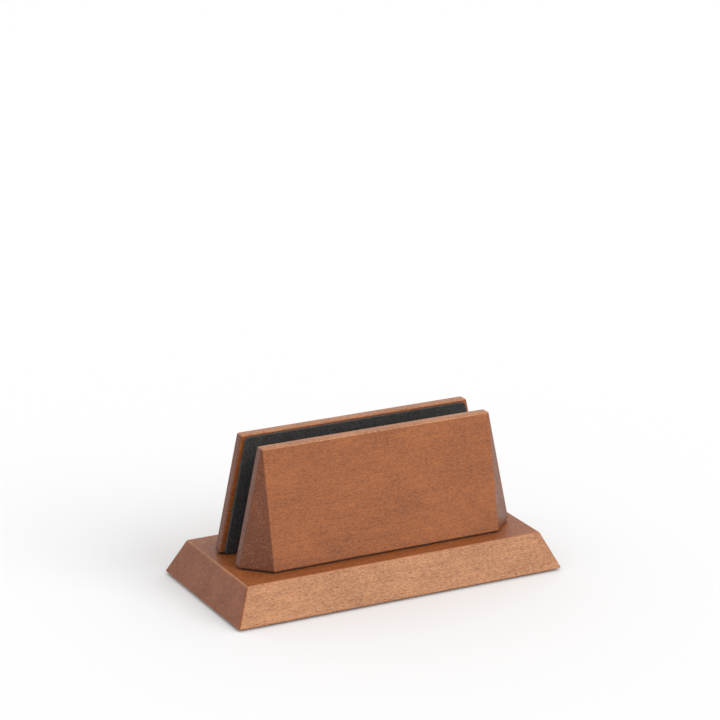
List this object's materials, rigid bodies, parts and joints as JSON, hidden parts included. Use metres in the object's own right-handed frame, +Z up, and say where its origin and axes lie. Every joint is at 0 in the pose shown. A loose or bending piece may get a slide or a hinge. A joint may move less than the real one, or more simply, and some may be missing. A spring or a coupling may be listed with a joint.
{
  "type": "vertical laptop dock",
  "caption": "Wooden vertical laptop dock: wedge-shaped jaws with felt linings slide on a bevelled base and clamp from below with socket head screws.",
  "frame": {"origin": "under the middle of the base, on the surface that the feet stand on", "axes": "+X along the slot to the right seen from the front, +Y to the rear across the slot, +Z up"},
  "size_m": [0.2178, 0.1058, 0.0968],
  "materials": {
    "stained_wood": "beech stained warm red-brown, satin oil, grain along X",
    "dark_felt": "dark charcoal pressed wool felt",
    "zinc_steel": "bright zinc plating",
    "insert_brass": "plain turned brass",
    "foot_silicone": "matt soft silicone"
  },
  "bodies": {
    "base": {"base_block": "stained_wood", "slot_floor_pad": "dark_felt", "foot_front_left": "foot_silicone", "foot_front_right": "foot_silicone", "foot_rear_left": "foot_silicone", "foot_rear_right": "foot_silicone"},
    "front_jaw": {"front_jaw": "stained_wood", "front_jaw_lining": "dark_felt", "front_jaw_sole": "dark_felt", "flat_washer_front_left": "zinc_steel", "flat_washer_front_right": "zinc_steel", "spring_washer_front_left": "zinc_steel", "spring_washer_front_right": "zinc_steel", "threaded_insert_front_left": "insert_brass", "threaded_insert_front_right": "insert_brass"},
    "rear_jaw": {"rear_jaw": "stained_wood", "rear_jaw_lining": "dark_felt", "rear_jaw_sole": "dark_felt", "flat_washer_rear_left": "zinc_steel", "flat_washer_rear_right": "zinc_steel", "spring_washer_rear_left": "zinc_steel", "spring_washer_rear_right": "zinc_steel", "threaded_insert_rear_left": "insert_brass", "threaded_insert_rear_right": "insert_brass"},
    "screw_front_left": {"jaw_screw_front_left": "zinc_steel"},
    "screw_front_right": {"jaw_screw_front_right": "zinc_steel"},
    "screw_rear_left": {"jaw_screw_rear_left": "zinc_steel"},
    "screw_rear_right": {"jaw_screw_rear_right": "zinc_steel"}
  },
  "joints": [
    {"name": "front_jaw_slide", "type": "slide", "parent": "base", "child": "front_jaw", "axis": [0, 1, 0], "range_m": [-0.0045, 0.004]},
    {"name": "rear_jaw_slide", "type": "slide", "parent": "base", "child": "rear_jaw", "axis": [0, -1, 0], "range_m": [-0.0045, 0.004]},
    {"name": "screw_front_left_turn", "type": "hinge", "parent": "front_jaw", "child": "screw_front_left", "pos_m": [-0.052, -0.0215, 0.0112], "axis": [0, 0, -1], "range_deg": [0, 360]},
    {"name": "screw_front_right_turn", "type": "hinge", "parent": "front_jaw", "child": "screw_front_right", "pos_m": [0.052, -0.0215, 0.0112], "axis": [0, 0, -1], "range_deg": [0, 360]},
    {"name": "screw_rear_left_turn", "type": "hinge", "parent": "rear_jaw", "child": "screw_rear_left", "pos_m": [-0.052, 0.0215, 0.0112], "axis": [0, 0, -1], "range_deg": [0, 360]},
    {"name": "screw_rear_right_turn", "type": "hinge", "parent": "rear_jaw", "child": "screw_rear_right", "pos_m": [0.052, 0.0215, 0.0112], "axis": [0, 0, -1], "range_deg": [0, 360]}
  ]
}
